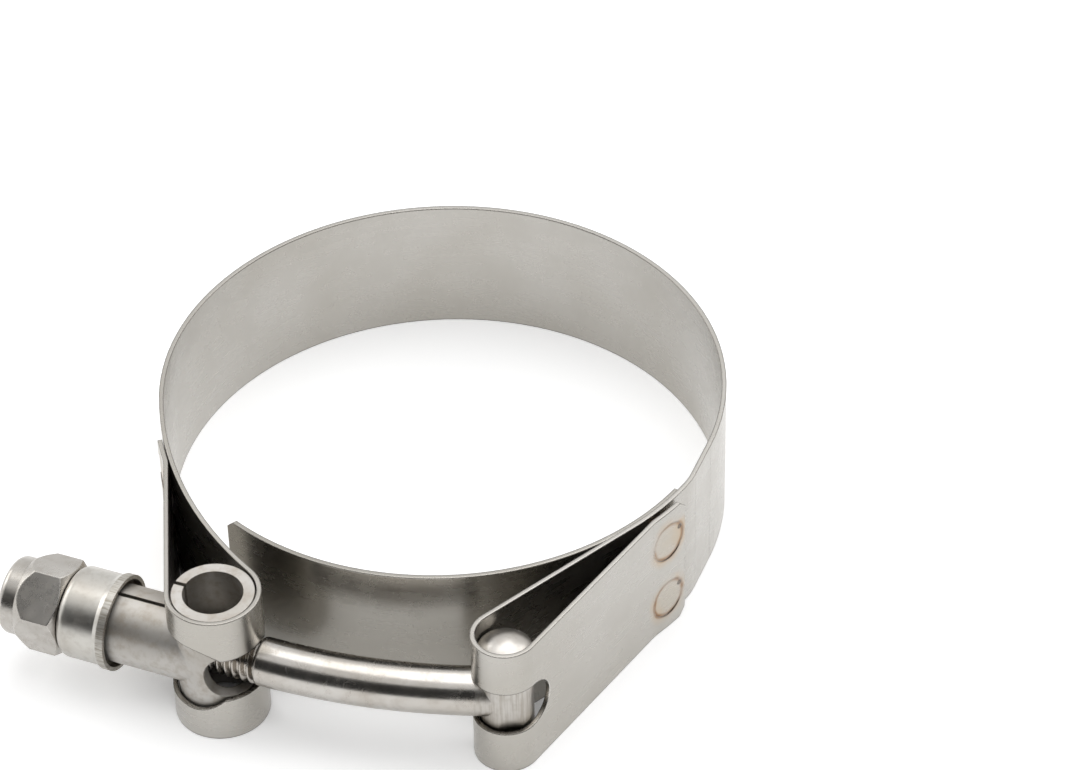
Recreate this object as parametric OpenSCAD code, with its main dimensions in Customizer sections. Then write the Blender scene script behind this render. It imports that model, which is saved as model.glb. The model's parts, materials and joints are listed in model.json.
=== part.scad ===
// T bolt hose clamp: a spot-welded strip with a loop at each end, a forged T bolt in one loop,
// a folded trunnion in the other, and a lock nut that pulls the two together.
// Millimetres. The origin is the centre of the bore, halfway across the band; +Z is the bore's axis.
// The gap of the ring faces -Y, with the trunnion and nut at -X and the T head at +X.

/* [Band] */
// Inside diameter of the closed ring
bore_d = 70; // [60:1:90]
// Width of the strip
band_w = 19; // [16:0.5:25]
// Thickness of the strip
band_t = 0.6; // [0.5:0.05:0.8]
// Distance along the ring from where the T head's inner leg leaves it to the start of the tail
head_tail_from = 3; // [2:0.1:4]
// Length of the tail that lies on the ring at the T head's end
head_tail_l = 5; // [4.6:0.1:7]
// Gap between that tail and the ring, around the spot welds
head_lap_gap = 0.55; // [0.1:0.05:0.7]
// Length of the tail that lies on the inner leg at the trunnion's end
tube_tail_l = 4.5; // [4.5:0.5:7]
// Gap between that tail and the leg, around the spot welds
tube_lap_gap = 0.1; // [0.05:0.05:0.2]
// Inside radius of the inner leg at the trunnion's end, which bows out from the ring
leg_r = 54; // [48:1:70]
// Length of that leg from the loop to the start of the tail
crotch_l = 23.3; // [21:0.1:24]
// Inside radius of the bend between a loop's outer leg and its tail
bend_r = 6; // [3:0.5:8]
// Corner cut off the tails and the liner's ends
corner_cut = 1.1; // [0.5:0.1:2]

/* [Pivots] */
// Distance between the trunnion's axis and the T head's axis
pivot_gap = 35.5; // [33:0.5:40]
// How far both axes lie beyond the ring's outside
pivot_out = 6.9; // [6.5:0.1:9]

/* [Spot welds] */
// Diameter of an electrode mark
weld_d = 5.4; // [4:0.1:6]
// Depth of an electrode mark
weld_depth = 0.14; // [0.12:0.02:0.2]
// Distance between the two welds across the strip
weld_pitch = 9.4; // [7:0.1:10]
// Distance from the end of the T head's tail to its welds
head_weld_back = 3.2; // [2.8:0.1:3.5]
// Distance from the end of the trunnion's tail to its welds
tube_weld_back = 2.25; // [2:0.05:3]

/* [Liner] */
// Thickness of the liner under the gap
liner_t = 0.6; // [0.4:0.05:0.8]
// How far the liner runs under the ring at its welded end
liner_lap = 9.8; // [8:0.2:12]
// How far its free end runs past the trunnion
liner_past = 6.7; // [5:0.1:8]
// How much narrower than the strip it is at each edge
liner_inset = 0.3; // [0:0.1:1]
// Inside radius of the joggle where the ring steps over the liner
joggle_r = 10; // [6:1:20]

/* [T bolt] */
// Outside diameter of the thread
thread_d = 5.9; // [5:0.1:7]
// Height of the shoulder from the thread to the shank
shoulder_h = 0.05; // [0.05:0.05:0.3]
// Distance from the trunnion's axis to the start of the shank
shank_from = 6; // [5.8:0.1:8]
// Angle by which the thread leans away from the line between the pivots
thread_lean = 9; // [5:1:14]
// How much thicker than the shank the head's bar is
head_over = 0.6; // [0.3:0.1:0.8]
// Distance from the strip's edge to the end of the head's bar
head_inset = 1; // [0.5:0.25:2]
// Height of the domes on the ends of the head's bar
head_dome = 1.3; // [0.8:0.1:2]
// Chamfer on the threaded end
thread_chamfer = 0.6; // [0.3:0.1:1]
// Distance from the nut's end to the bolt's end inside it
bolt_sunk = 0.5; // [0.2:0.1:1]

/* [Trunnion] */
// Gap between the thread and the trunnion's bore
bolt_play = 0.7; // [0.5:0.05:1]
// Wall of the cross tube
tube_t = 1.35; // [1:0.05:1.6]
// Wall of the sleeve
sleeve_t = 1.2; // [0.9:0.05:1.4]
// Length of the sleeve from the tube's axis
sleeve_l = 18.4; // [15:0.1:24]
// Distance from the strip's edge to the end of the cross tube
tube_inset = 0.2; // [0:0.1:1]
// Width of the seam where the blank's halves meet
seam_w = 0.5; // [0.3:0.1:0.9]
// Gap above and below the thread in the window it leaves by
window_gap = 0.45; // [0.3:0.05:0.6]
// Distance from the tube's axis to the centre of the window's round ends
window_at = 3.8; // [3.5:0.1:4.2]

/* [Cup] */
// Wall of the drawn cup
cup_t = 0.5; // [0.4:0.05:0.7]
// Thickness of its floor, under the nut
cup_floor = 0.8; // [0.6:0.05:1.2]
// Length of the sleeve that it covers
cup_cover = 5.9; // [4:0.1:9]
// Height by which its mouth flares
flare_h = 0.3; // [0.1:0.05:0.5]
// Length of the flared rim
rim_l = 1; // [0.6:0.1:1.5]
// Outside radius of the edge round its floor
cup_round = 1.2; // [0.9:0.1:1.6]

/* [Lock nut] */
// Width across the flats
nut_af = 10.5; // [9.5:0.1:12]
// Height of the hexagon
hex_h = 5.8; // [5:0.1:7]
// Height of the collar that holds the insert
collar_h = 2.4; // [2.2:0.1:3]
// Step from the flats down to the collar
collar_step = 0.4; // [0.2:0.05:0.6]
// Wall of the collar around the insert
collar_t = 0.75; // [0.6:0.05:0.9]
// Radius on the collar's edge
collar_round = 0.9; // [0.5:0.1:1.1]
// Thickness of the lip rolled over the insert
lip_t = 0.4; // [0.3:0.05:0.6]
// Width by which the lip covers the insert
lip_w = 0.5; // [0.3:0.05:0.7]
// Height of the nylon insert
insert_h = 1.7; // [1.4:0.1:2]
// Depth of the crown that rounds off the hexagon's corners on the cup's side
crown_h = 0.7; // [0.4:0.05:0.9]
// Depth of the crown on the collar's side
top_crown_h = 1.7; // [0.5:0.1:2]
// How far inside the flats the crown starts
crown_in = 0.15; // [0.1:0.05:0.3]
// Turn of the hexagon about the thread
nut_turn = 50; // [0:1:59]

/* [Slots] */
// How far the T head's slot runs up its loop's inner leg
slot_inner = 1.2; // [0.8:0.1:2]
// How far the T head's slot runs up its loop's outer leg
slot_outer = 3.2; // [2.5:0.1:6]
// Angle from the thread to the centre of the round end where the trunnion's slot grows taller
slot_step = 103; // [95:1:120]

/* [Fits] */
// Gap between a loop and the tube or bar inside it
loop_gap = 0.2; // [0.1:0.05:0.3]
// Gap between a slot's edge and the shank or sleeve that passes through it
slot_gap = 0.3; // [0.2:0.05:0.5]
// Gap between the cup and the sleeve
cup_gap = 0.35; // [0.3:0.05:0.5]
// Slack between the cup's floor and the end of the sleeve
seat_gap = 0.1; // [0.05:0.05:0.3]
// Gap between the thread and the hole in the cup's floor
hole_gap = 0.3; // [0.2:0.05:0.5]
// Gap between the thread and the nut or its insert
thread_gap = 0.05; // [0.03:0.01:0.1]

/* [Hidden] */
$fn = 96;

// Joined stretches of strip run a little way into each other, each next one thinner by a hair
run_in = 0.05;
hair = 0.01;
// Cutting shapes stand this far proud of what they cut
proud = 1;
// A slot's straight part starts this far back round its loop
slot_lead = 0.5;

ring_in = bore_d / 2;
ring_out = ring_in + band_t;
step_in = ring_in + liner_t;
pivot = [pivot_gap / 2, -(ring_out + pivot_out)];

shank_d = thread_d + 2 * shoulder_h;
head_d = shank_d + head_over;
head_l = band_w - 2 * head_inset;
trunnion_bore = thread_d + 2 * bolt_play;
tube_d = trunnion_bore + 2 * tube_t;
tube_l = band_w - 2 * tube_inset;
sleeve_d = trunnion_bore + 2 * sleeve_t;

head_loop = head_d / 2 + loop_gap + band_t;
tube_loop = tube_d / 2 + loop_gap + band_t;
bolt_slot_h = shank_d + 2 * slot_gap;
sleeve_slot_h = sleeve_d + 2 * slot_gap;
nugget_d = 0.8 * weld_d;

cup_in = sleeve_d / 2 + cup_gap;
cup_out = cup_in + cup_t;
cup_mouth = sleeve_l - cup_cover;
cup_hole = thread_d / 2 + hole_gap;
cup_seat = sleeve_l + seat_gap;
nut_seat = cup_seat + cup_floor;
collar_at = nut_seat + hex_h;
nut_end = collar_at + collar_h;
collar_r = nut_af / 2 - collar_step;
insert_r = collar_r - collar_t;
insert_at = nut_end - lip_t - insert_h;
nut_bore = thread_d / 2 + thread_gap;

function polar(r, a) = [r * cos(a), r * sin(a)];
function angle_of(v) = atan2(v[1], v[0]);
function degrees_of(length, r) = length / r * 180 / PI;

// Centre of the bend where a tail of inside radius r about centre c starts, at angle a
function bend_centre(c, r, a) = c + polar(r + band_t + bend_r, a);
// Angle, seen from a loop's centre, at which the outer leg leaves the loop for that bend
function leg_angle(c, r, a, loop) =
    let (reach = bend_centre(c, r, a) - pivot)
    angle_of(reach) - acos((loop + bend_r) / norm(reach));

// Both ends of the strip are worked out at +X, and the trunnion's is mirrored.
// The T head's inner leg is a straight tangent from the ring to the loop
ring_c = [0, 0];
head_leave = angle_of(pivot) + acos((step_in + head_loop) / norm(pivot));
head_tail = head_leave + degrees_of(head_tail_from, step_in);
head_tail_r = step_in + band_t + head_lap_gap;
head_weld = head_tail + degrees_of(head_tail_l - head_weld_back, head_tail_r);
head_out = leg_angle(ring_c, head_tail_r, head_tail, head_loop);
// The trunnion's inner leg is a flatter arc that touches both the ring and the loop
bow = leg_r - ring_in;
bow_start = angle_of(pivot)
    + acos((pow(leg_r + tube_loop, 2) - pow(bow, 2) - pivot * pivot) / (2 * bow * norm(pivot)));
bow_c = polar(-bow, bow_start);
bow_end = angle_of(pivot - bow_c);
tube_tail = bow_end + degrees_of(crotch_l, leg_r);
tube_tail_r = leg_r + band_t + tube_lap_gap;
tube_weld = tube_tail + degrees_of(tube_tail_l - tube_weld_back, tube_tail_r);
tube_out = leg_angle(bow_c, tube_tail_r, tube_tail, tube_loop);
// The joggle: a straight tangent from the ring, then a bend onto the larger circle over the liner
joggle_l = sqrt(pow(step_in - joggle_r, 2) - pow(ring_in - joggle_r, 2));
joggle_turn = atan2(joggle_l, ring_in - joggle_r);
joggle_end = head_leave + degrees_of(liner_lap, ring_in);
joggle_start = joggle_end + joggle_turn;

// The shank is an arc that starts along the thread and ends at the head's axis
shank_start = [-pivot[0], pivot[1]] + polar(shank_from, -thread_lean);
shank_chord = pivot - shank_start;
shank_turn = 2 * (angle_of(shank_chord) + thread_lean);
shank_r = norm(shank_chord) / (2 * sin(shank_turn / 2));
shank_centre = shank_start + polar(shank_r, 90 - thread_lean);

// A curved stretch of strip about centre c, from angle a0 to a1, with its inside at radius r
module strip_arc(c, r, a0, a1, level = 0, from = 0, to = 0) {
    start = a0 - degrees_of(from, r);
    end = a1 + degrees_of(to, r);
    translate([c[0], c[1], 0])
        rotate([0, 0, start])
            rotate_extrude(angle = end - start)
                translate([r + level * hair, -band_w / 2])
                    square([band_t - 2 * level * hair, band_w]);
}

// A straight stretch of strip from p to q along one face, with its other face towards angle a
module strip_line(p, q, a, level = 0, from = 0, to = 0) {
    way = (q - p) / norm(q - p);
    near = polar(level * hair, a);
    far = polar(band_t - level * hair, a);
    start = p - from * way;
    end = q + to * way;
    linear_extrude(band_w, center = true)
        polygon([start + near, end + near, end + far, start + far]);
}

// Both corners off a strip that ends at angle a on a circle of radius r, in the direction way
module corner_cuts(r, thickness, width, a, way) {
    for (edge = [-1, 1])
        rotate([0, 0, a])
            translate([r + thickness / 2, 0, edge * width / 2])
                rotate([atan2(edge, way), 0, 0])
                    translate([0, corner_cut - corner_cut / sqrt(2), 0])
                        cube([thickness + 2 * proud, 2 * corner_cut, 4 * corner_cut], center = true);
}

// Loop, outer leg, bend and tail at the +X end of the strip.
// The tail runs about centre c at inside radius r, from angle a over length tail
module strip_end(c, r, a, tail, loop, loop_from) {
    out = leg_angle(c, r, a, loop);
    bend = bend_centre(c, r, a);
    tail_end = a + degrees_of(tail, r);
    strip_arc(pivot, loop - band_t, loop_from, out + 360, 1);
    strip_line(pivot + polar(loop, out), bend - polar(bend_r, out), out + 180, 2, run_in, run_in);
    strip_arc(bend, bend_r, a + 180, out + 180, 1);
    difference() {
        strip_arc(c, r, a, tail_end, 2, run_in);
        translate([c[0], c[1], 0])
            corner_cuts(r, band_t, band_w, tail_end, 1);
    }
}

// A round bar at each of a tail's two spot welds at angle a about centre c, from radius r0 to r1
module weld_bars(c, a, d, r0, r1) {
    for (edge = [-1, 1])
        translate([c[0], c[1], 0])
            rotate([0, 0, a])
                translate([r0, 0, edge * weld_pitch / 2])
                    rotate([0, 90, 0])
                        cylinder(h = r1 - r0, d = d);
}

// The welds between a tail of inside radius r and the strip that lies gap below it
module welds(c, a, r, gap)
    weld_bars(c, a, nugget_d, r - gap - band_t / 2, r + band_t / 2);

// The marks that the electrodes leave on that tail
module weld_marks(c, a, r)
    weld_bars(c, a, weld_d, r + band_t - weld_depth, r + band_t + proud);

// A wedge about the origin from angle a0 to a1, of height h
module wedge(r, a0, a1, h) {
    steps = ceil((a1 - a0) / 45);
    rim = [for (i = [0 : steps]) polar(r, a0 + (a1 - a0) * i / steps)];
    linear_extrude(h, center = true)
        polygon(concat([[0, 0]], rim));
}

// The round end of a slot of height h, at distance y along the strip from angle a of a loop
module slot_end(loop, a, h, y) {
    rotate([0, 0, a])
        translate([0, y, 0])
            rotate([0, 90, 0])
                cylinder(h = loop + proud, d = h - 4 * hair);
}

// A slot round a loop from angle a to the outer leg at angle out, and up that leg to y = end
module loop_slot(loop, a, out, h, end) {
    round_y = end - h / 2;
    leg_y = min(0, round_y) - slot_lead;
    wedge(2 * loop, a, out + 360 + degrees_of(leg_y + slot_lead / 2, loop), h);
    rotate([0, 0, out])
        translate([0, leg_y, hair - h / 2])
            cube([loop + proud, round_y - leg_y, h - 2 * hair]);
    slot_end(loop, out, h, round_y);
}

// Slot round the T head's loop, for the shank
module head_slot() {
    inner_y = bolt_slot_h / 2 - slot_inner;
    inner = head_leave + 180;
    translate([pivot[0], pivot[1], 0]) {
        slot_end(head_loop, inner, bolt_slot_h, inner_y);
        loop_slot(head_loop, inner + asin(inner_y / head_loop), head_out, bolt_slot_h, slot_outer);
    }
}

// Slot round the trunnion's loop, low at the thread's side and tall at the sleeve's, drawn at +X
module trunnion_slot() {
    tilt = thread_lean - tube_out;
    sleeve_end = tube_loop * tan(tilt) + sleeve_d / 2 / cos(tilt) + slot_gap;
    thread_side = 180 + thread_lean;
    step = thread_side + slot_step;
    translate([pivot[0], pivot[1], 0]) {
        slot_end(tube_loop, thread_side, bolt_slot_h, 0);
        wedge(2 * tube_loop, thread_side, step, bolt_slot_h);
        slot_end(tube_loop, step, sleeve_slot_h, 0);
        loop_slot(tube_loop, step, tube_out, sleeve_slot_h, sleeve_end);
    }
}

module band() {
    color("Silver")
        difference() {
            union() {
                strip_arc(ring_c, ring_in, joggle_start, 180 - bow_start);
                strip_line(polar(ring_in, joggle_start),
                           polar(ring_in, joggle_start) + polar(joggle_l, joggle_start - 90),
                           joggle_start, 1, run_in);
                strip_arc(polar(step_in - joggle_r, joggle_end), joggle_r,
                          joggle_end, joggle_start, 2, run_in, run_in);
                strip_arc(ring_c, step_in, head_leave, joggle_end, 1);
                strip_line(polar(step_in, head_leave), pivot - polar(head_loop, head_leave),
                           head_leave, 2, run_in, run_in);
                strip_end(ring_c, head_tail_r, head_tail, head_tail_l, head_loop, head_leave + 180);
                welds(ring_c, head_weld, head_tail_r, head_lap_gap);
                mirror([1, 0, 0]) {
                    strip_arc(bow_c, leg_r, bow_end, bow_start, 2, run_in, run_in);
                    strip_end(bow_c, tube_tail_r, tube_tail, tube_tail_l, tube_loop, bow_end + 180);
                    welds(bow_c, tube_weld, tube_tail_r, tube_lap_gap);
                }
            }
            head_slot();
            weld_marks(ring_c, head_weld, head_tail_r);
            mirror([1, 0, 0]) {
                trunnion_slot();
                weld_marks(bow_c, tube_weld, tube_tail_r);
            }
        }
}

module liner() {
    width = band_w - 2 * liner_inset;
    free_end = -180 - angle_of(pivot) - degrees_of(liner_past, ring_in);
    color("Gainsboro")
        difference() {
            rotate([0, 0, free_end])
                rotate_extrude(angle = joggle_end - free_end)
                    translate([ring_in, -width / 2])
                        square([liner_t, width]);
            corner_cuts(ring_in, liner_t, width, joggle_end, 1);
            corner_cuts(ring_in, liner_t, width, free_end, -1);
        }
}

// Places what is turned about the thread's axis: up is towards the nut, from the trunnion's axis
module along_thread() {
    translate([-pivot[0], pivot[1], 0])
        rotate([0, 0, 180 - thread_lean])
            rotate([0, 90, 0])
                children();
}

// The head's bar, with a dome on each end
module head_bar() {
    r = head_d / 2;
    dome_r = (r * r + head_dome * head_dome) / (2 * head_dome);
    intersection() {
        cylinder(h = head_l, r = r, center = true);
        union() {
            for (end = [-1, 1])
                translate([0, 0, end * (head_l / 2 - dome_r)])
                    sphere(dome_r);
            cylinder(h = head_l - 3 * head_dome, r = dome_r, center = true);
        }
    }
}

module t_bolt() {
    thread_r = thread_d / 2;
    neck_r = shank_d / 2 - 10 * hair;
    tip = nut_end - bolt_sunk;
    color("LightSlateGray") {
        along_thread()
            rotate_extrude()
                polygon([
                    [0, -shank_from - shoulder_h],
                    [neck_r, -shank_from - shoulder_h],
                    [neck_r, -shank_from],
                    [thread_r, -shank_from + 2 * shoulder_h],
                    [thread_r, tip - thread_chamfer],
                    [thread_r - thread_chamfer, tip],
                    [0, tip]
                ]);
        translate([shank_centre[0], shank_centre[1], 0])
            rotate([0, 0, -90 - thread_lean])
                rotate_extrude(angle = shank_turn)
                    translate([shank_r, 0])
                        circle(d = shank_d);
        translate([pivot[0], pivot[1], 0])
            head_bar();
    }
}

module trunnion() {
    chamfer = cup_t / 2;
    color("DarkGray")
        difference() {
            union() {
                translate([-pivot[0], pivot[1], 0])
                    cylinder(h = tube_l, d = tube_d, center = true);
                along_thread()
                    rotate_extrude()
                        polygon([
                            [0, 0],
                            [sleeve_d / 2, 0],
                            [sleeve_d / 2, sleeve_l - chamfer],
                            [sleeve_d / 2 - chamfer, sleeve_l],
                            [0, sleeve_l]
                        ]);
            }
            translate([-pivot[0], pivot[1], 0])
                cylinder(h = tube_l + 2 * proud, d = trunnion_bore, center = true);
            along_thread() {
                cylinder(h = sleeve_l + proud, d = trunnion_bore);
                // Seam of the folded blank
                translate([-tube_l / 2 - proud, -seam_w / 2, 0])
                    cube([tube_l + 2 * proud, seam_w, sleeve_l + proud]);
                // Window that the thread leaves by
                translate([0, 0, -window_at])
                    rotate([90, 0, 0])
                        cylinder(h = tube_d + 2 * proud, r = thread_d / 2 + window_gap, center = true);
                translate([-thread_d / 2 - window_gap, -tube_d / 2 - proud, -window_at - tube_d / 2])
                    cube([thread_d + 2 * window_gap, tube_d + 2 * proud, tube_d / 2]);
            }
        }
}

// Half section of a flared cup of radius r, closed at the top by an edge of radius round_r
module cup_section(r, top, round_r) {
    union() {
        polygon([
            [0, cup_mouth],
            [r + flare_h, cup_mouth],
            [r + flare_h, cup_mouth + rim_l],
            [r, cup_mouth + rim_l + 2 * flare_h],
            [r, top - round_r],
            [0, top - round_r]
        ]);
        translate([0, cup_mouth + rim_l])
            square([r - round_r, top - cup_mouth - rim_l]);
        translate([r - round_r, top - round_r])
            circle(round_r);
    }
}

module cup() {
    color("LightGray")
        along_thread()
            difference() {
                rotate_extrude()
                    cup_section(cup_out, nut_seat, cup_round);
                rotate_extrude()
                    cup_section(cup_in, cup_seat, cup_t / 2);
                cylinder(h = nut_seat + proud, r = cup_hole);
            }
}

module lock_nut() {
    corner_r = nut_af / sqrt(3);
    crown_r = nut_af / 2 - crown_in;
    wide_r = corner_r + proud / 4;
    spread = (wide_r - crown_r) / (corner_r - crown_r);
    color("WhiteSmoke")
        along_thread()
            difference() {
                union() {
                    intersection() {
                        translate([0, 0, nut_seat])
                            rotate([0, 0, nut_turn])
                                cylinder(h = hex_h, r = corner_r, $fn = 6);
                        rotate_extrude()
                            polygon([
                                [0, nut_seat],
                                [crown_r, nut_seat],
                                [wide_r, nut_seat + crown_h * spread],
                                [wide_r, collar_at - top_crown_h * spread],
                                [crown_r, collar_at],
                                [0, collar_at]
                            ]);
                    }
                    rotate_extrude()
                        union() {
                            translate([0, collar_at - proud])
                                square([collar_r, collar_h + proud - collar_round]);
                            translate([0, collar_at - proud])
                                square([collar_r - collar_round, collar_h + proud]);
                            translate([collar_r - collar_round, nut_end - collar_round])
                                circle(collar_round);
                        }
                }
                translate([0, 0, nut_seat - proud])
                    cylinder(h = nut_end - nut_seat + 2 * proud, r = nut_bore);
                translate([0, 0, insert_at])
                    cylinder(h = insert_h, r = insert_r);
                translate([0, 0, insert_at])
                    cylinder(h = nut_end - insert_at + proud, r = insert_r - lip_w);
            }
}

module nylon_insert() {
    color("Ivory")
        along_thread()
            translate([0, 0, insert_at])
                difference() {
                    cylinder(h = insert_h, r = insert_r);
                    translate([0, 0, -proud])
                        cylinder(h = insert_h + 2 * proud, r = nut_bore);
                }
}

band();
liner();
t_bolt();
trunnion();
cup();
lock_nut();
nylon_insert();
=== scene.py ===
import json
import math

import bpy
from mathutils import Matrix, Vector

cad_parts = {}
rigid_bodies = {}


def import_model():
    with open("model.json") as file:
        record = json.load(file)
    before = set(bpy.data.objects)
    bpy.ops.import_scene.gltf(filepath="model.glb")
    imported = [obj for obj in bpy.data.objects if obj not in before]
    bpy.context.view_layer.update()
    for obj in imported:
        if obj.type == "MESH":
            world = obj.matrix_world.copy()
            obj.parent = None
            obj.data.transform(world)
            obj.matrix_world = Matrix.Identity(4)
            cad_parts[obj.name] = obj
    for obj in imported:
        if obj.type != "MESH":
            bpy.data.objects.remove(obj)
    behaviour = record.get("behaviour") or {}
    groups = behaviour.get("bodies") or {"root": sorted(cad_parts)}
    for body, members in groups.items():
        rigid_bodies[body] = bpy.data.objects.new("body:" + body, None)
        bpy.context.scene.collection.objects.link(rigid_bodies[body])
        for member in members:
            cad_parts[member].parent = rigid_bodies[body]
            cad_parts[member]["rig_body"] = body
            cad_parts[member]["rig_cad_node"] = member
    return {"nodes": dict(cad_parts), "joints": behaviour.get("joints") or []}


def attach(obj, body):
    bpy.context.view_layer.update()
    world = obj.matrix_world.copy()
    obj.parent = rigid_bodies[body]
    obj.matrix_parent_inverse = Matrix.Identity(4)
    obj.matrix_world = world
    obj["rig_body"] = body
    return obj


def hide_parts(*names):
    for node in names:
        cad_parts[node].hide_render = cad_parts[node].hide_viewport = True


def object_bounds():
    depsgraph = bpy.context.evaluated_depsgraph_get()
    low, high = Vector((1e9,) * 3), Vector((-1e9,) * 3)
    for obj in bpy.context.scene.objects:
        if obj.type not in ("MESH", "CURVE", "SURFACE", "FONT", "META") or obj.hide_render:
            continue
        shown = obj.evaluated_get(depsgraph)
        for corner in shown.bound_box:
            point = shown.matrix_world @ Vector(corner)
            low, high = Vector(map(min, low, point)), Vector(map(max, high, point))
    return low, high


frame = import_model()
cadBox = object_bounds()
nodes = frame["nodes"]
joints = {joint["name"]: joint for joint in frame["joints"]}
mm = 0.001
mergeWithin = 0.002 * mm  # points closer than this are one point
sliverUnder = 0.001 * mm  # shorter edges are dissolved
bumpDepth = 0.02 * mm
headCentre = Vector(joints["bolt_swing"]["pos_m"])
threadStart = Vector(joints["nut_spin"]["pos_m"])  # on the axis of the trunnion's tube
threadAxis = Vector(joints["nut_spin"]["axis"])
print("frame loaded:", ", ".join(sorted(nodes)))


# helpers for the modelling
def pickOnly(piece):
    bpy.ops.object.select_all(action="DESELECT")
    piece.select_set(True)
    bpy.context.view_layer.objects.active = piece


def nameNew(name):
    piece = bpy.context.object
    piece.name = name
    piece.data.name = name
    return piece


def applyPlace(piece):
    pickOnly(piece)
    bpy.ops.object.transform_apply(location=True, rotation=True, scale=True)


def smoothByAngle(piece, degrees):
    pickOnly(piece)
    bpy.ops.object.shade_smooth_by_angle(angle=math.radians(degrees))


def copyNode(nodeName, name):
    # a copy of a CAD node with its loose triangles merged
    pickOnly(nodes[nodeName])
    bpy.ops.object.duplicate()
    piece = nameNew(name)
    bpy.ops.object.parent_clear(type="CLEAR_KEEP_TRANSFORM")
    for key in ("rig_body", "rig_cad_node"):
        del piece[key]
    bpy.ops.mesh.customdata_custom_splitnormals_clear()
    bpy.ops.object.mode_set(mode="EDIT")
    bpy.ops.mesh.select_all(action="SELECT")
    bpy.ops.mesh.remove_doubles(threshold=mergeWithin)
    bpy.ops.mesh.select_all(action="DESELECT")
    bpy.ops.object.mode_set(mode="OBJECT")
    return piece


def shapeWith(piece, tool, name, operation):
    # cuts the tool out of the piece or welds it on, and clears the slivers that this leaves
    step = piece.modifiers.new(name, "BOOLEAN")
    step.operation = operation
    step.solver = "EXACT"
    step.object = tool
    pickOnly(piece)
    bpy.ops.object.modifier_apply(modifier=name)
    bpy.data.objects.remove(tool)
    bpy.ops.object.mode_set(mode="EDIT")
    bpy.ops.mesh.select_all(action="SELECT")
    bpy.ops.mesh.quads_convert_to_tris()
    bpy.ops.mesh.dissolve_degenerate(threshold=sliverUnder)
    bpy.ops.mesh.select_all(action="DESELECT")
    bpy.ops.object.mode_set(mode="OBJECT")


# helpers for the node trees
def put(tree, kind, inputs=None, **settings):
    made = tree.nodes.new(kind)
    for key, value in settings.items():
        setattr(made, key, value)
    for key, value in (inputs or {}).items():
        if isinstance(value, bpy.types.NodeSocket):
            tree.links.new(value, made.inputs[key])
        else:
            made.inputs[key].default_value = value
    return made


def calc(tree, operation, first, second=0.0, clamp=False):
    return put(tree, "ShaderNodeMath", {0: first, 1: second}, operation=operation,
               use_clamp=clamp).outputs[0]


def times(tree, first, second):
    return calc(tree, "MULTIPLY", first, second)


def vectorCalc(tree, operation, first, second, out="Vector"):
    made = put(tree, "ShaderNodeVectorMath", {0: first, 1: second}, operation=operation)
    return made.outputs[out]


def spread(tree, value, low, high, toLow=0.0, toHigh=1.0):
    inputs = {"Value": value, "From Min": low, "From Max": high, "To Min": toLow, "To Max": toHigh}
    made = put(tree, "ShaderNodeMapRange", inputs, interpolation_type="SMOOTHSTEP")
    return made.outputs["Result"]


def fade(tree, value, low, high):
    return spread(tree, value, low, high, 1.0, 0.0)


def noise(tree, place, size, detail=2.0, rough=0.5):
    return put(tree, "ShaderNodeTexNoise", {"Vector": place, "Scale": size, "Detail": detail,
                                            "Roughness": rough}).outputs


def mixColour(tree, share, first, second):
    return put(tree, "ShaderNodeMix", {0: share, 6: first, 7: second}, data_type="RGBA").outputs[2]


def tint(tree, colour, mask, share, tone):
    return mixColour(tree, times(tree, mask, share), colour, tone)


def plus(tree, value, mask, share, clamp=False):
    return calc(tree, "ADD", value, times(tree, mask, share), clamp)


def newGroup(name, inputs, outputs):
    tree = bpy.data.node_groups.new(name, "ShaderNodeTree")
    for way, sockets in (("INPUT", inputs), ("OUTPUT", outputs)):
        for label, kind in sockets.items():
            tree.interface.new_socket(label, in_out=way, socket_type="NodeSocket" + kind)
    return tree, tree.nodes.new("NodeGroupInput").outputs


def giveOut(tree, **results):
    end = tree.nodes.new("NodeGroupOutput")
    for label, socket in results.items():
        tree.links.new(socket, end.inputs[label])
    return tree


def useGroup(tree, group, **inputs):
    return put(tree, "ShaderNodeGroup", inputs, node_tree=group).outputs


def newMaterial(name):
    material = bpy.data.materials.new(name)
    material.use_nodes = True
    material.node_tree.nodes.clear()
    return material, material.node_tree


def closeMaterial(tree, colour, rough, bump, metallic):
    shader = put(tree, "ShaderNodeBsdfPrincipled", {"Base Color": colour, "Metallic": metallic,
                                                    "Roughness": rough, "Normal": bump.outputs[0]})
    put(tree, "ShaderNodeOutputMaterial", {"Surface": shader.outputs[0]})


# fine lines from rolling, drawing or turning: the stretch says how fine along each axis
grainValues = {"fineSize": 1.0, "fineDetail": 3.0, "fineRough": 0.6,
               "wideSize": 0.22, "streak": (0.38, 0.66)}


def buildRollGrain(values):
    tree, given = newGroup("rollGrain", {"Vector": "Vector", "Stretch": "Vector"},
                           {"Height": "Float", "Streak": "Float"})
    drawn = vectorCalc(tree, "MULTIPLY", given["Vector"], given["Stretch"])
    fine = noise(tree, drawn, values["fineSize"], values["fineDetail"], values["fineRough"])
    wide = noise(tree, drawn, values["wideSize"])
    return giveOut(tree, Height=fine["Fac"], Streak=spread(tree, wide["Fac"], *values["streak"]))


# slow changes of tone over the metal
driftValues = {"broad": (0.35, 0.65), "finer": 7.0, "cloudDetail": 4.0, "cloudRough": 0.62,
               "cloud": (0.42, 0.7)}


def buildToneDrift(values):
    tree, given = newGroup("toneDrift", {"Vector": "Vector", "Size": "Float"},
                           {"Broad": "Float", "Cloud": "Float"})
    broad = noise(tree, given["Vector"], given["Size"])
    finer = times(tree, given["Size"], values["finer"])
    cloud = noise(tree, given["Vector"], finer, values["cloudDetail"], values["cloudRough"])
    return giveOut(tree, Broad=spread(tree, broad["Fac"], *values["broad"]),
                   Cloud=spread(tree, cloud["Fac"], *values["cloud"]))


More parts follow.
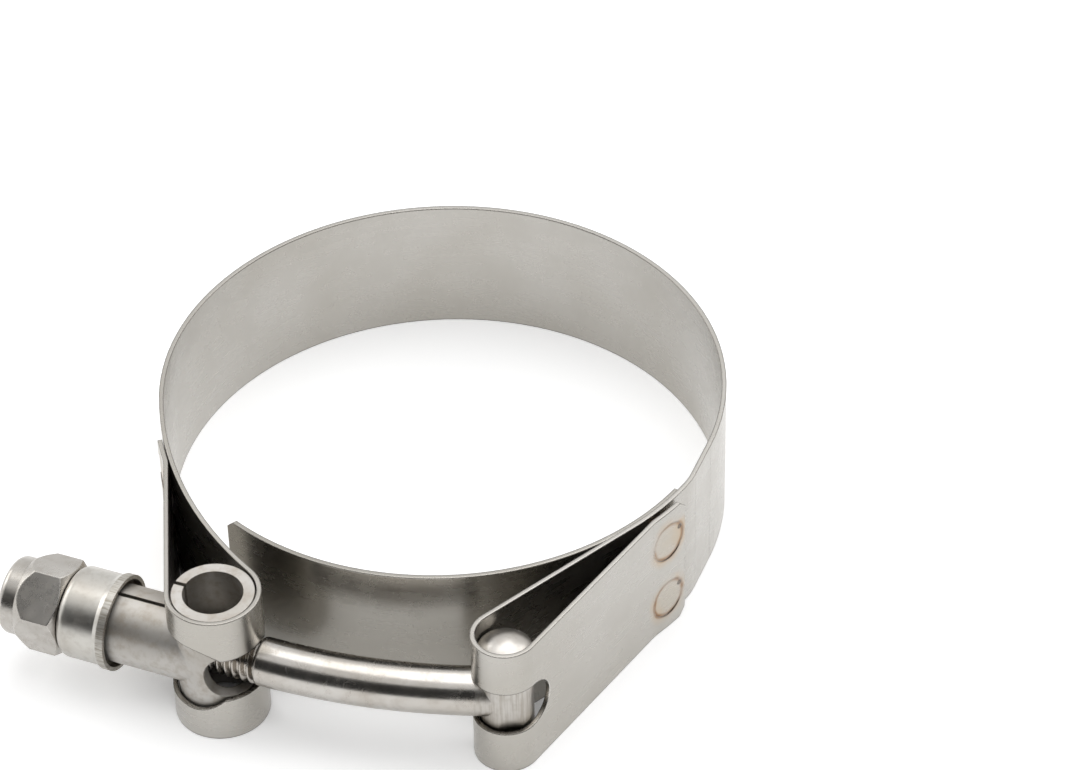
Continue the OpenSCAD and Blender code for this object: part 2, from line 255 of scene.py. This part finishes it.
# hair scratches and small dull spots from handling
markValues = {"bend": (0.004, 0.004, 0.004), "line": (0.0, 0.035), "lineHere": (0.52, 0.6),
              "spotSize": 2.3, "spot": (0.08, 0.2), "fewSize": 0.7, "spotHere": (0.5, 0.62)}


def buildHandlingMarks(values):
    tree, given = newGroup("handlingMarks", {"Vector": "Vector", "Size": "Float"},
                           {"Scratch": "Float", "Spot": "Float"})
    place, size = given["Vector"], given["Size"]
    drift = noise(tree, place, size)
    pushed = vectorCalc(tree, "MULTIPLY", drift["Color"], values["bend"])
    moved = vectorCalc(tree, "ADD", place, pushed)
    cells = put(tree, "ShaderNodeTexVoronoi", {"Vector": moved, "Scale": size},
                feature="DISTANCE_TO_EDGE")
    line = fade(tree, cells.outputs["Distance"], *values["line"])
    lineHere = spread(tree, drift["Fac"], *values["lineHere"])
    dots = put(tree, "ShaderNodeTexVoronoi",
               {"Vector": place, "Scale": times(tree, size, values["spotSize"])})
    spot = fade(tree, dots.outputs["Distance"], *values["spot"])
    few = noise(tree, place, times(tree, size, values["fewSize"]))
    spotHere = spread(tree, few["Fac"], *values["spotHere"])
    return giveOut(tree, Scratch=times(tree, line, lineHere), Spot=times(tree, spot, spotHere))


# the tinted ring, the paler middle and the small pip of a spot weld, in shares of its radius
heatValues = {
    "wobbleSize": 420.0, "wobble": 0.2, "patchSize": 260.0, "patchDetail": 3.0,
    "ringRise": (0.76, 0.95), "ringFall": (0.97, 1.15), "ringPatch": (0.3, 0.62, 0.3, 1.0),
    "halo": (0.95, 1.55), "haloPatch": (0.4, 0.65, 0.25, 1.0), "middle": (0.5, 0.95),
    "pipRise": (0.03, 0.12, 0.45, 1.0), "pipFall": (0.12, 0.17),
}


def buildHeatTint(values):
    tree, given = newGroup(
        "heatTint", {"Vector": "Vector", "Centre": "Vector", "Pip": "Vector", "Radius": "Float"},
        {"Ring": "Float", "Middle": "Float", "Halo": "Float", "Pip": "Float"})
    place, radius = given["Vector"], given["Radius"]
    wave = noise(tree, place, values["wobbleSize"])["Fac"]
    wobble = calc(tree, "SUBTRACT", wave, 0.5)  # so that it swings about 0
    patch = noise(tree, place, values["patchSize"], values["patchDetail"])["Fac"]
    away = vectorCalc(tree, "DISTANCE", place, given["Centre"], "Value")
    part = plus(tree, calc(tree, "DIVIDE", away, radius), wobble, values["wobble"])
    ring = times(tree, spread(tree, part, *values["ringRise"]),
                 fade(tree, part, *values["ringFall"]))
    ring = times(tree, ring, spread(tree, patch, *values["ringPatch"]))
    halo = times(tree, fade(tree, part, *values["halo"]),
                 spread(tree, patch, *values["haloPatch"]))
    middle = fade(tree, part, *values["middle"])
    pipAway = vectorCalc(tree, "DISTANCE", place, given["Pip"], "Value")
    pipPart = calc(tree, "DIVIDE", pipAway, radius)
    pip = times(tree, spread(tree, pipPart, *values["pipRise"]),
                fade(tree, pipPart, *values["pipFall"]))
    return giveOut(tree, Ring=ring, Middle=middle, Halo=halo, Pip=pip)


# rounded edges, the mask of the metal along them and along creases, and its part on edges that face
# up or down; the finishes paint a highlight and a dark line along these masks
edgeValues = {"samples": 6, "edgeMask": (0.86, 0.975), "upward": (0.2, 0.45)}


def buildRoundedEdges(values):
    tree, given = newGroup("roundedEdges", {"Radius": "Float"},
                           {"Normal": "Vector", "Worn": "Float", "Rim": "Float"})
    rounded = put(tree, "ShaderNodeBevel", {"Radius": given["Radius"]},
                  samples=values["samples"]).outputs[0]
    plain = put(tree, "ShaderNodeNewGeometry").outputs["Normal"]
    agree = vectorCalc(tree, "DOT_PRODUCT", rounded, plain, "Value")
    edgeMask = fade(tree, agree, *values["edgeMask"])
    upward = calc(tree, "ABSOLUTE", put(tree, "ShaderNodeSeparateXYZ", {0: rounded}).outputs["Z"])
    rim = times(tree, edgeMask, spread(tree, upward, *values["upward"]))
    return giveOut(tree, Normal=rounded, Worn=edgeMask, Rim=rim)


# a soft-edged stretch along an axis, such as a sheared rim or a forged head
def buildDullZone():
    tree, given = newGroup("dullZone", {"Vector": "Vector", "Start": "Vector", "Axis": "Vector",
                                        "From": "Float", "To": "Float", "Soft": "Float"},
                           {"Zone": "Float"})
    away = vectorCalc(tree, "SUBTRACT", given["Vector"], given["Start"])
    along = vectorCalc(tree, "DOT_PRODUCT", away, given["Axis"], "Value")
    rise = spread(tree, along, given["From"], calc(tree, "ADD", given["From"], given["Soft"]))
    fall = fade(tree, along, given["To"], calc(tree, "ADD", given["To"], given["Soft"]))
    return giveOut(tree, Zone=times(tree, rise, fall))


rollGrain = buildRollGrain(grainValues)
toneDrift = buildToneDrift(driftValues)
handlingMarks = buildHandlingMarks(markValues)
heatTint = buildHeatTint(heatValues)
roundedEdges = buildRoundedEdges(edgeValues)
dullZone = buildDullZone()
print("shared effects built")

# the spot welds, two on each of the band's tails
weldValues = {
    "tails": ((1, 32.59, -18.24), (-1, 31.49, -18.91)),  # side, x and y in mm
    "rows": ((-4.7, 1.0), (4.7, 0.7)),  # height in mm, and how dark the ring is burnt
    "pipShift": (1.02, 1.83, 1.1),  # in mm from the weld's middle
    "radius": 2.7 * mm, "ringRough": 0.12,
    "halo": (0.56, 0.38, 0.2, 1), "haloShare": 0.5,
    "middle": (0.49, 0.455, 0.395, 1), "middleShare": 0.6,
    "ring": (0.26, 0.135, 0.06, 1),
    "pip": (0.1, 0.085, 0.075, 1), "pipShare": 0.9,
}


def tintWelds(tree, place, colour, rough, values):
    outward, onward, upward = values["pipShift"]
    for side, x, y in values["tails"]:
        for z, burn in values["rows"]:
            spot = Vector((side * x, y, z)) * mm
            pip = Vector((side * (x + outward), y + onward, z + upward)) * mm
            weld = useGroup(tree, heatTint, Vector=place, Centre=spot, Pip=pip,
                            Radius=values["radius"])
            colour = tint(tree, colour, weld["Halo"], values["haloShare"], values["halo"])
            colour = tint(tree, colour, weld["Middle"], values["middleShare"], values["middle"])
            colour = tint(tree, colour, weld["Ring"], burn, values["ring"])
            colour = tint(tree, colour, weld["Pip"], values["pipShare"], values["pip"])
            rough = plus(tree, rough, weld["Ring"], values["ringRough"], clamp=True)
    return colour, rough


# a duller stretch with drawn lines of its own
def drawZone(tree, place, turned, colour, rough, height, zone):
    dull = useGroup(tree, dullZone, Vector=place, Start=zone["start"], Axis=zone["axis"],
                    From=zone["from"], To=zone["to"], Soft=zone["soft"])["Zone"]
    lines = useGroup(tree, rollGrain, Vector=turned, Stretch=zone["stretch"])["Height"]
    tall = calc(tree, "ABSOLUTE", put(tree, "ShaderNodeSeparateXYZ", {0: place}).outputs["Z"])
    sides = times(tree, dull, fade(tree, tall, zone["tall"], zone["tall"] + zone["soft"]))
    lined = times(tree, sides, spread(tree, lines, *zone["lines"]))
    colour = tint(tree, colour, lined, zone["share"], zone["tone"])
    rough = plus(tree, rough, dull, zone["rough"], clamp=True)
    return colour, rough, plus(tree, height, sides, lines)


# one steel recipe, with its own values for each finish
def steelFinish(values):
    material, tree = newMaterial(values["name"])
    place = put(tree, "ShaderNodeTexCoord").outputs["Object"]
    turn = (0, 0, math.radians(values["turn"]))
    turned = put(tree, "ShaderNodeMapping", {"Vector": place, "Rotation": turn}).outputs[0]
    tone = useGroup(tree, toneDrift, Vector=place, Size=values["toneSize"])
    grain = useGroup(tree, rollGrain, Vector=turned, Stretch=values["stretch"])
    marks = useGroup(tree, handlingMarks, Vector=place, Size=values["markSize"])
    colour = mixColour(tree, tone["Broad"], values["dark"], values["light"])
    colour = tint(tree, colour, tone["Cloud"], values["cloud"], values["stain"])
    colour = tint(tree, colour, grain["Streak"], values["streak"], values["light"])
    colour = tint(tree, colour, marks["Spot"], values["spots"], values["stain"])
    rough = plus(tree, values["rough"], tone["Cloud"], values["roughCloud"])
    rough = plus(tree, rough, grain["Streak"], values["roughStreak"])
    rough = plus(tree, rough, marks["Scratch"], values["roughScratch"], clamp=True)
    if "welds" in values:
        colour, rough = tintWelds(tree, place, colour, rough, values["welds"])
    height = calc(tree, "SUBTRACT", times(tree, grain["Height"], values["grain"]),
                  times(tree, marks["Scratch"], values["scratch"]))
    if "zone" in values:
        colour, rough, height = drawZone(tree, place, turned, colour, rough, height, values["zone"])
    edge = useGroup(tree, roundedEdges, Radius=values["edge"])
    # a painted highlight along the edges and creases, partly the polish of wear; on the trunnion
    # and the cup the tone is dark brown, so there they turn darker brown
    edgeMask = times(tree, edge["Worn"], values["edgeSheen"])
    colour = mixColour(tree, edgeMask, colour, values["edgeSheenTone"])
    smoother = times(tree, edgeMask, values["wearSmooth"])
    rough = calc(tree, "SUBTRACT", rough, smoother, clamp=True)
    # a painted dark line on the rounded edges that face up or down, the dark reflection that such
    # edges show
    if "rim" in values:
        colour = tint(tree, colour, edge["Rim"], values["rim"], values["rimTone"])
    bump = put(tree, "ShaderNodeBump", {"Strength": values["bump"], "Distance": bumpDepth,
                                        "Height": height, "Normal": edge["Normal"]})
    closeMaterial(tree, colour, rough, bump, metallic=1.0)
    return material


stripSteelLook = {
    "turn": 0.0, "stretch": (260.0, 260.0, 5200.0), "markSize": 210.0,
    "stain": (0.4, 0.375, 0.33, 1),
    "cloud": 0.08, "streak": 0.12, "spots": 0.0,
    "roughCloud": 0.04, "roughStreak": 0.03, "roughScratch": 0.01,
    "grain": 0.6, "scratch": 0.02, "bump": 0.05, "edge": 0.3 * mm,
    # a painted highlight along the edges, partly the polish of wear
    "edgeSheen": 0.65, "edgeSheenTone": (0.78, 0.765, 0.735, 1), "wearSmooth": 0.15,
    # a painted dark reflection line on the rounded top and bottom edges
    "rim": 0.9, "rimTone": (0.07, 0.058, 0.045, 1),
}
bandSteelLook = dict(
    stripSteelLook, name="bandSteel", toneSize=38.0, rough=0.26, welds=weldValues,
    dark=(0.445, 0.425, 0.388, 1), light=(0.495, 0.478, 0.447, 1))
linerSteelLook = dict(
    stripSteelLook, name="linerSteel", toneSize=45.0, rough=0.24,
    dark=(0.37, 0.352, 0.318, 1), light=(0.425, 0.408, 0.375, 1))
boltSteelLook = {
    "name": "boltSteel", "turn": 0.0, "toneSize": 120.0,
    "stretch": (900.0, 1600.0, 1600.0), "markSize": 420.0,
    "dark": (0.44, 0.41, 0.37, 1), "light": (0.53, 0.51, 0.48, 1), "stain": (0.3, 0.255, 0.21, 1),
    "cloud": 0.25, "streak": 0.2, "spots": 0.15,
    "rough": 0.2, "roughCloud": 0.06, "roughStreak": 0.04, "roughScratch": 0.06,
    "grain": 0.6, "scratch": 0.12, "bump": 0.3, "edge": 0.15 * mm,
    # a painted highlight along the edges, partly the polish of wear
    "edgeSheen": 0.4, "edgeSheenTone": (0.66, 0.63, 0.58, 1), "wearSmooth": 0.15,
    "zone": {  # the drawn lines on the head's bar
        "start": headCentre - Vector((3.75 * mm, 0.0, 0.0)), "axis": Vector((1.0, 0.0, 0.0)),
        "from": 0.0, "to": 20.0 * mm, "soft": 1.5 * mm, "tall": 5.0 * mm,
        "stretch": (2600.0, 2600.0, 130.0), "lines": (0.42, 0.62, 0.15, 1.0),
        "tone": (0.33, 0.3, 0.26, 1), "share": 0.7, "rough": 0.12},
}
trunnionSteelLook = {
    "name": "trunnionSteel", "turn": 9.0, "toneSize": 110.0,
    "stretch": (700.0, 2600.0, 2600.0), "markSize": 380.0,
    "dark": (0.44, 0.415, 0.38, 1), "light": (0.53, 0.515, 0.49, 1), "stain": (0.32, 0.265, 0.2, 1),
    "cloud": 0.42, "streak": 0.2, "spots": 0.15,
    "rough": 0.48, "roughCloud": 0.06, "roughStreak": 0.05, "roughScratch": 0.06,
    "grain": 0.6, "scratch": 0.12, "bump": 0.2, "edge": 0.18 * mm,
    # here the edge tone is dark brown, so edges and creases turn darker brown; the cup takes this
    # too
    "edgeSheen": 0.5, "edgeSheenTone": (0.22, 0.185, 0.14, 1), "wearSmooth": 0.15,
}
cupSteelLook = dict(
    trunnionSteelLook, name="cupSteel", toneSize=150.0, cloud=0.22, rough=0.3, edge=0.12 * mm,
    dark=(0.46, 0.435, 0.395, 1), light=(0.55, 0.535, 0.5, 1), stain=(0.26, 0.225, 0.19, 1),
    zone={  # the sheared rim of the cup's mouth
        "start": threadStart, "axis": threadAxis,
        "from": 12.2 * mm, "to": 13.4 * mm, "soft": 0.2 * mm, "tall": 20.0 * mm,
        "stretch": (400.0, 4200.0, 4200.0), "lines": (0.42, 0.62, 0.15, 1.0),
        "tone": (0.3, 0.275, 0.235, 1), "share": 0.9, "rough": 0.16})
nutSteelLook = {
    "name": "nutSteel", "turn": 9.0, "toneSize": 160.0,
    "stretch": (1500.0, 1500.0, 1500.0), "markSize": 500.0,
    "dark": (0.42, 0.4, 0.37, 1), "light": (0.51, 0.49, 0.46, 1), "stain": (0.28, 0.24, 0.195, 1),
    "cloud": 0.28, "streak": 0.15, "spots": 0.25,
    "rough": 0.26, "roughCloud": 0.07, "roughStreak": 0.04, "roughScratch": 0.1,
    "grain": 0.5, "scratch": 0.2, "bump": 0.25, "edge": 0.22 * mm,
    # a painted highlight along the edges, partly the polish of wear
    "edgeSheen": 0.5, "edgeSheenTone": (0.7, 0.68, 0.64, 1), "wearSmooth": 0.15,
}
finishes = {}
for look in (bandSteelLook, linerSteelLook, boltSteelLook, trunnionSteelLook, cupSteelLook,
             nutSteelLook):
    finishes[look["name"]] = steelFinish(look)

nylonLook = {"name": "nylonWhite", "toneSize": 260.0,
             "colour": (0.72, 0.7, 0.64, 1), "shade": (0.6, 0.57, 0.5, 1),
             "rough": 0.42, "roughCloud": 0.15, "bump": 0.2}


def nylonFinish(values):
    material, tree = newMaterial(values["name"])
    place = put(tree, "ShaderNodeTexCoord").outputs["Object"]
    cloud = useGroup(tree, toneDrift, Vector=place, Size=values["toneSize"])["Cloud"]
    colour = mixColour(tree, cloud, values["colour"], values["shade"])
    rough = plus(tree, values["rough"], cloud, values["roughCloud"])
    bump = put(tree, "ShaderNodeBump", {"Strength": values["bump"], "Distance": bumpDepth,
                                        "Height": cloud})
    closeMaterial(tree, colour, rough, bump, metallic=0.0)
    return material


finishes["nylonWhite"] = nylonFinish(nylonLook)


def dress(piece, finish):
    piece.data.materials.clear()
    piece.data.materials.append(finishes[finish])
    for face in piece.data.polygons:
        face.material_index = 0


for nodeName, finish in (("liner", "linerSteel"), ("trunnion", "trunnionSteel"),
                         ("cup", "cupSteel"), ("lock_nut", "nutSteel"),
                         ("nylon_insert", "nylonWhite")):
    dress(nodes[nodeName], finish)
print("finishes on the plain nodes")

# the band: its strip merged, so that the light runs smoothly over the bends
bandValues = {"node": "band", "softUpTo": 30}
bandStrip = copyNode(bandValues["node"], "bandStrip")
smoothByAngle(bandStrip, bandValues["softUpTo"])
dress(bandStrip, "bandSteel")
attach(bandStrip, "band")
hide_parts(bandValues["node"])
print("band strip:", len(bandStrip.data.polygons), "faces")

# the T bolt: the forged shank and head, with a cut thread in place of the plain rod
boltValues = {
    "crest": 2.94 * mm, "root": 2.36 * mm, "pitch": 1.0 * mm,
    "flank": (0.1, 0.43, 0.57, 0.9),  # in shares of the pitch
    "from": -6.4 * mm, "to": 26.6 * mm, "steps": 40,
    "rodFrom": -5.4 * mm, "rodTo": 26.3 * mm, "rodRadius": 2.95 * mm, "rodSlack": 0.06 * mm,
    "flatTurn": -68.0, "flatAt": 2.98 * mm,
    "flatDeep": 2.0 * mm, "flatWide": 5.0 * mm, "flatTall": 13.0 * mm,
    "softUpTo": 22,
}


def makeThread(values):
    pitch, root, crest = values["pitch"], values["root"], values["crest"]
    turns = round((values["to"] - values["from"]) / pitch) - 1  # the outline adds one pitch
    rise, crestFrom, crestTo, fall = values["flank"]
    outline = [(root, 0.0), (root, rise), (crest, crestFrom),
               (crest, crestTo), (root, fall), (root, 1.0)]
    bpy.ops.object.select_all(action="DESELECT")
    bpy.ops.mesh.primitive_plane_add(size=mm)
    thread = nameNew("threadTurns")
    bpy.ops.object.mode_set(mode="EDIT")
    bpy.ops.mesh.select_mode(type="VERT")
    bpy.ops.mesh.select_all(action="SELECT")
    bpy.ops.mesh.merge(type="CENTER")
    for first, second in zip(outline, outline[1:]):
        bpy.ops.mesh.extrude_region_move(TRANSFORM_OT_translate={
            "value": (second[0] - first[0], 0.0, (second[1] - first[1]) * pitch)})
    bpy.ops.mesh.select_all(action="SELECT")
    bpy.ops.transform.translate(value=(root, 0.0, 0.0))
    bpy.ops.object.mode_set(mode="OBJECT")
    screw = thread.modifiers.new("cutThread", "SCREW")
    screw.axis = "Z"
    screw.angle = math.radians(360)
    screw.screw_offset = pitch
    screw.iterations = turns
    screw.steps = screw.render_steps = values["steps"]
    screw.use_merge_vertices = True
    screw.merge_threshold = sliverUnder
    bpy.ops.object.modifier_apply(modifier="cutThread")
    bpy.ops.object.mode_set(mode="EDIT")
    bpy.ops.mesh.select_all(action="SELECT")
    bpy.ops.mesh.remove_doubles(threshold=mergeWithin)
    bpy.ops.mesh.fill_holes(sides=0)
    bpy.ops.mesh.select_all(action="SELECT")
    bpy.ops.mesh.normals_make_consistent(inside=False)
    bpy.ops.object.mode_set(mode="OBJECT")
    turn = Vector((0, 0, 1)).rotation_difference(threadAxis).to_matrix().to_4x4()
    thread.matrix_world = Matrix.Translation(threadStart + values["from"] * threadAxis) @ turn
    applyPlace(thread)
    return thread


def cutHeadFlat(bolt, values):
    # the narrow flat that forging leaves on the front of the head's bar
    turn = math.radians(values["flatTurn"])
    outward = Vector((math.cos(turn), math.sin(turn), 0.0))
    middle = headCentre + outward * (values["flatAt"] + values["flatDeep"] / 2)
    bpy.ops.object.select_all(action="DESELECT")
    bpy.ops.mesh.primitive_cube_add(size=1.0, location=middle, rotation=(0.0, 0.0, turn))
    cutter = nameNew("flatCutter")
    cutter.scale = (values["flatDeep"], values["flatWide"], values["flatTall"])
    applyPlace(cutter)
    shapeWith(bolt, cutter, "headFlat", "DIFFERENCE")


def openRod(bolt, values):
    # takes the rod's round wall off and closes the rims that it leaves open
    for face in bolt.data.polygons:
        away = face.center - threadStart
        along = away.dot(threadAxis)
        radius = (away - along * threadAxis).length
        face.select = (values["rodFrom"] < along < values["rodTo"]
                       and abs(radius - values["rodRadius"]) < values["rodSlack"])
    bpy.ops.object.mode_set(mode="EDIT")
    bpy.ops.mesh.select_mode(type="FACE")
    bpy.ops.mesh.delete(type="FACE")
    bpy.ops.mesh.select_mode(type="EDGE")
    bpy.ops.mesh.select_non_manifold()
    bpy.ops.mesh.fill_holes(sides=0)
    bpy.ops.mesh.select_all(action="DESELECT")
    bpy.ops.object.mode_set(mode="OBJECT")


def makeTBolt(values):
    bolt = copyNode("t_bolt", "tBolt")
    cutHeadFlat(bolt, values)
    openRod(bolt, values)
    shapeWith(bolt, makeThread(values), "threadOn", "UNION")
    smoothByAngle(bolt, values["softUpTo"])
    return bolt


tBolt = makeTBolt(boltValues)
dress(tBolt, "boltSteel")
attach(tBolt, "bolt")
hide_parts("t_bolt")
print("T bolt with its thread:", len(tBolt.data.polygons), "faces")

# floor, light and camera
# the contactShade values set a painted contact shadow on the floor
studio = {"floorSize": 6.0, "floorGap": 0.05 * mm, "floorTone": 0.86, "floorGlow": 0.43,
          "contactShadeReach": 12 * mm, "contactShadeSamples": 8, "contactShadeFade": (0.12, 0.35), "skyLight": 0.42}
white = (1, 1, 1, 1)


def seenDirectly(tree):
    # 1 where the eye, a reflection or glass looks, and 0 for the light that falls on the clamp
    path = put(tree, "ShaderNodeLightPath")
    seen = calc(tree, "MAXIMUM", path.outputs["Is Camera Ray"], path.outputs["Is Glossy Ray"])
    return calc(tree, "MAXIMUM", seen, path.outputs["Is Transmission Ray"])


def buildFloor(values):
    lowest = cadBox[0][2] - values["floorGap"]
    bpy.ops.object.select_all(action="DESELECT")
    bpy.ops.mesh.primitive_plane_add(size=values["floorSize"], location=(0, 0, lowest))
    floor = nameNew("floor")
    applyPlace(floor)
    material, tree = newMaterial("paleFloor")
    tone = values["floorTone"]
    matt = put(tree, "ShaderNodeBsdfDiffuse", {"Color": (tone, tone, tone, 1)})
    openFloor = put(tree, "ShaderNodeAmbientOcclusion", {"Distance": values["contactShadeReach"]},
               samples=values["contactShadeSamples"]).outputs["AO"]
    strength = times(tree, seenDirectly(tree), values["floorGlow"])
    # the glow fades where the clamp hems the floor in: a painted contact shadow at its foot and
    # inside the tube
    strength = times(tree, strength, spread(tree, openFloor, *values["contactShadeFade"]))
    glow = put(tree, "ShaderNodeEmission", {"Color": white, "Strength": strength})
    both = put(tree, "ShaderNodeAddShader", {0: matt.outputs[0], 1: glow.outputs[0]})
    put(tree, "ShaderNodeOutputMaterial", {"Surface": both.outputs[0]})
    floor.data.materials.append(material)


def buildSky(values):
    world = bpy.data.worlds.new("studioSky")
    bpy.context.scene.world = world
    world.use_nodes = True
    tree = world.node_tree
    tree.nodes.clear()
    strength = spread(tree, seenDirectly(tree), 0.0, 1.0, values["skyLight"], 1.0)
    sky = put(tree, "ShaderNodeBackground", {"Color": white, "Strength": strength})
    put(tree, "ShaderNodeOutputWorld", {"Surface": sky.outputs[0]})


# a dark wall behind the camera, which the polished metal reflects
wallValues = {"from": -152.0, "to": 16.0, "away": 1.0, "tall": 1.12, "panels": 72,
              "tone": 0.03, "rough": 0.9}


def buildWall(values):
    bpy.ops.object.select_all(action="DESELECT")
    bpy.ops.mesh.primitive_cylinder_add(
        vertices=values["panels"], radius=values["away"], depth=values["tall"],
        end_fill_type="NOTHING", location=(0, 0, values["tall"] / 2))
    wall = nameNew("darkWall")
    applyPlace(wall)
    bpy.ops.object.mode_set(mode="EDIT")
    bpy.ops.mesh.select_mode(type="FACE")
    bpy.ops.mesh.select_all(action="DESELECT")
    bpy.ops.object.mode_set(mode="OBJECT")
    for face in wall.data.polygons:
        angle = math.degrees(math.atan2(face.center.y, face.center.x))
        face.select = not values["from"] < angle < values["to"]
    bpy.ops.object.mode_set(mode="EDIT")
    bpy.ops.mesh.delete(type="FACE")
    bpy.ops.object.mode_set(mode="OBJECT")
    material = bpy.data.materials.new("wallBlack")
    material.use_nodes = True
    shader = material.node_tree.nodes["Principled BSDF"]
    tone = values["tone"]
    shader.inputs["Base Color"].default_value = (tone, tone, tone, 1)
    shader.inputs["Roughness"].default_value = values["rough"]
    wall.data.materials.append(material)
    wall.visible_camera = False
    wall.visible_shadow = False
    wall.visible_diffuse = False


softLights = [
    {"name": "overheadSoft", "place": (0.1, 0.15, 0.9), "size": 0.9, "watts": 4.2},
    {"name": "leftSoft", "place": (-0.85, 0.2, 0.5), "size": 0.6, "watts": 2.6},
    {"name": "rightSoft", "place": (0.7, 0.5, 0.6), "size": 0.5, "watts": 1.6},
]


def buildLights():
    for values in softLights:
        bpy.ops.object.light_add(type="AREA", location=values["place"])
        lamp = bpy.context.object
        lamp.name = values["name"]
        lamp.data.size = values["size"]
        lamp.data.energy = values["watts"]
        toRing = -Vector(values["place"])  # the ring's middle is the origin
        lamp.rotation_euler = toRing.to_track_quat("-Z", "Y").to_euler()


cameraValues = {"place": (0.10057, -0.36763, 0.33671), "turn": (49.2474, 1.0046, 12.6004),
                "lens": 133.333, "sensor": 36.0, "clipStart": 0.01}


def buildCamera(values):
    turn = [math.radians(angle) for angle in values["turn"]]
    bpy.ops.object.camera_add(location=values["place"], rotation=turn)
    camera = bpy.context.object
    camera.name = "photoCamera"
    camera.data.sensor_width = values["sensor"]
    camera.data.sensor_fit = "HORIZONTAL"
    camera.data.lens = values["lens"]
    camera.data.clip_start = values["clipStart"]
    bpy.context.scene.camera = camera


buildFloor(studio)
buildSky(studio)
buildWall(wallValues)
buildLights()
buildCamera(cameraValues)
bpy.context.scene.view_settings.view_transform = "Standard"
print("floor, light and camera set")
